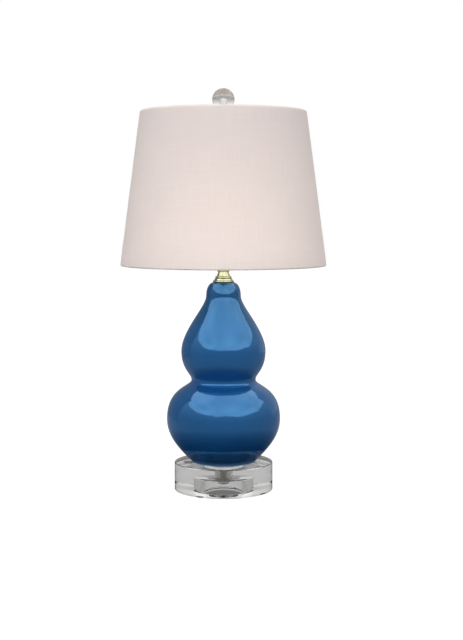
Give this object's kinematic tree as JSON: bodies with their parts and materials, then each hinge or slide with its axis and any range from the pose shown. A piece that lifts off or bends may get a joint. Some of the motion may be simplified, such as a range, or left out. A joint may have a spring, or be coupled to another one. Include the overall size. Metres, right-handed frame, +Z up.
{
  "type": "table lamp with shade",
  "caption": "Table lamp: glazed double-gourd body on a clear crystal plinth, brass neck and harp, tapered drum fabric shade and a clear ball finial.",
  "frame": {"origin": "centre of the lamp's footprint, on the surface that it stands on", "axes": "+Z up along the lamp's axis; the lamp's front, with the switch knob, faces -Y, and the harp's legs lie along X"},
  "size_m": [0.2794, 0.2794, 0.5465],
  "materials": {
    "crystal": "polished",
    "rubber_black": "matte",
    "gasket_white": "matte",
    "zinc_steel": "satin",
    "blue_glaze": "gloss",
    "bushing_ivory": "satin",
    "rod_brass": "satin",
    "polished_brass": "polished",
    "contact_brass": "satin",
    "liner_card": "matte",
    "phenolic_black": "satin",
    "knob_black": "gloss",
    "bulb_metal": "satin",
    "bulb_black_glass": "gloss",
    "bulb_frosted": "satin",
    "shade_liner_white": "matte",
    "shade_fabric": "matte"
  },
  "bodies": {
    "lamp": {"bumper_feet": "rubber_black", "crystal_base": "crystal", "base_washer": "zinc_steel", "base_lock_washer": "zinc_steel", "base_nut": "zinc_steel", "seat_gasket": "gasket_white", "gourd_body": "blue_glaze", "cord_bushing": "bushing_ivory", "threaded_rod": "rod_brass", "mouth_plug": "rubber_black", "vase_cap": "polished_brass", "neck_ring": "polished_brass", "neck_tube": "polished_brass", "neck_nut": "polished_brass", "harp_saddle": "polished_brass", "harp_wire": "polished_brass", "harp_stud": "polished_brass", "socket_cap": "polished_brass", "set_screw": "zinc_steel", "socket_shell": "polished_brass", "shell_liner": "liner_card", "socket_body": "phenolic_black", "screw_shell": "contact_brass", "centre_contact": "contact_brass", "terminal_screws": "contact_brass"},
    "switch": {"switch_shaft": "zinc_steel", "switch_knob": "knob_black"},
    "bulb": {"bulb_base": "bulb_metal", "bulb_insulator": "bulb_black_glass", "bulb_tip": "bulb_metal", "bulb_glass": "bulb_frosted"},
    "ferrule_left": {"ferrule_left": "polished_brass"},
    "ferrule_right": {"ferrule_right": "polished_brass"},
    "shade": {"spider": "polished_brass", "top_ring": "polished_brass", "bottom_ring": "polished_brass", "shade_liner": "shade_liner_white", "shade_fabric": "shade_fabric", "top_hem": "shade_fabric", "bottom_hem": "shade_fabric"},
    "finial": {"finial_base": "polished_brass", "finial_ball": "crystal"}
  },
  "joints": [
    {"name": "switch_turn", "type": "hinge", "parent": "lamp", "child": "switch", "pos_m": [0, -0.0215, 0.3395], "axis": [0, -1, 0], "continuous": true},
    {"name": "bulb_turn", "type": "hinge", "parent": "lamp", "child": "bulb", "pos_m": [0, 0, 0.36], "axis": [0, 0, 1], "continuous": true},
    {"name": "shade_turn", "type": "hinge", "parent": "lamp", "child": "shade", "pos_m": [0, 0, 0.504], "axis": [0, 0, 1], "continuous": true},
    {"name": "finial_turn", "type": "hinge", "parent": "lamp", "child": "finial", "pos_m": [0, 0, 0.51], "axis": [0, 0, 1], "continuous": true},
    {"name": "ferrule_left_lift", "type": "slide", "parent": "lamp", "child": "ferrule_left", "axis": [0, 0, 1], "range_m": [0, 0.012]},
    {"name": "ferrule_right_lift", "type": "slide", "parent": "lamp", "child": "ferrule_right", "axis": [0, 0, 1], "range_m": [0, 0.012]}
  ]
}
